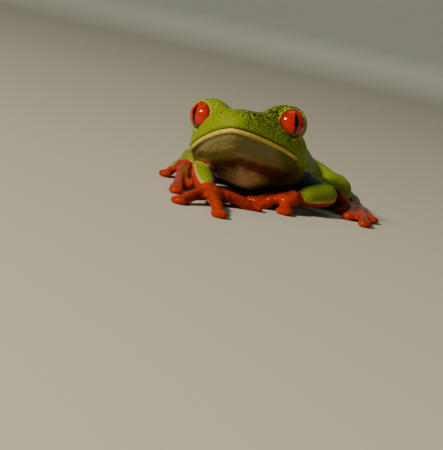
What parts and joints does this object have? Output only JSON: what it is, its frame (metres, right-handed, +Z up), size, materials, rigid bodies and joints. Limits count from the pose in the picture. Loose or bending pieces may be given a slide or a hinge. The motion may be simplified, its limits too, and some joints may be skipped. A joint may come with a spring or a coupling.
{
  "type": "red-eyed tree frog",
  "caption": "Life-size red-eyed tree frog crouching low with its head raised, its hands forward and its toes spread, as a still figure.",
  "frame": {"origin": "middle of the base: the centre of the bounding box in plan, at the level of the floor that the hands, feet and belly rest on", "axes": "+Z up; the snout points towards -Y, turned a little to -X; the frog's own left side is towards +X"},
  "size_m": [0.0352, 0.0644, 0.016],
  "materials": {
    "green_skin": "finely granular satin, leaf green",
    "cream_skin": "smooth satin, creamy white",
    "orange_skin": "smooth and wet-looking, bright orange",
    "eye": "clear gloss over a red iris with an upright black pupil"
  },
  "bodies": {
    "root": {"eye_left": "eye", "eye_right": "eye", "head": "green_skin", "jaw": "cream_skin", "trunk": "green_skin", "upper_arm_left": "orange_skin", "forearm_left": "green_skin", "finger_left_1": "orange_skin", "finger_left_2": "orange_skin", "finger_left_3": "orange_skin", "finger_left_4": "orange_skin", "hand_left": "orange_skin", "thigh_left": "orange_skin", "shank_left": "green_skin", "tarsus_left": "green_skin", "toe_left_1": "orange_skin", "toe_left_2": "orange_skin", "toe_left_3": "orange_skin", "toe_left_4": "orange_skin", "toe_left_5": "orange_skin", "foot_left": "orange_skin", "upper_arm_right": "orange_skin", "forearm_right": "green_skin", "finger_right_1": "orange_skin", "finger_right_2": "orange_skin", "finger_right_3": "orange_skin", "finger_right_4": "orange_skin", "hand_right": "orange_skin", "thigh_right": "orange_skin", "shank_right": "green_skin", "tarsus_right": "green_skin", "toe_right_1": "orange_skin", "toe_right_2": "orange_skin", "toe_right_3": "orange_skin", "toe_right_4": "orange_skin", "toe_right_5": "orange_skin", "foot_right": "orange_skin"}
  },
  "joints": []
}
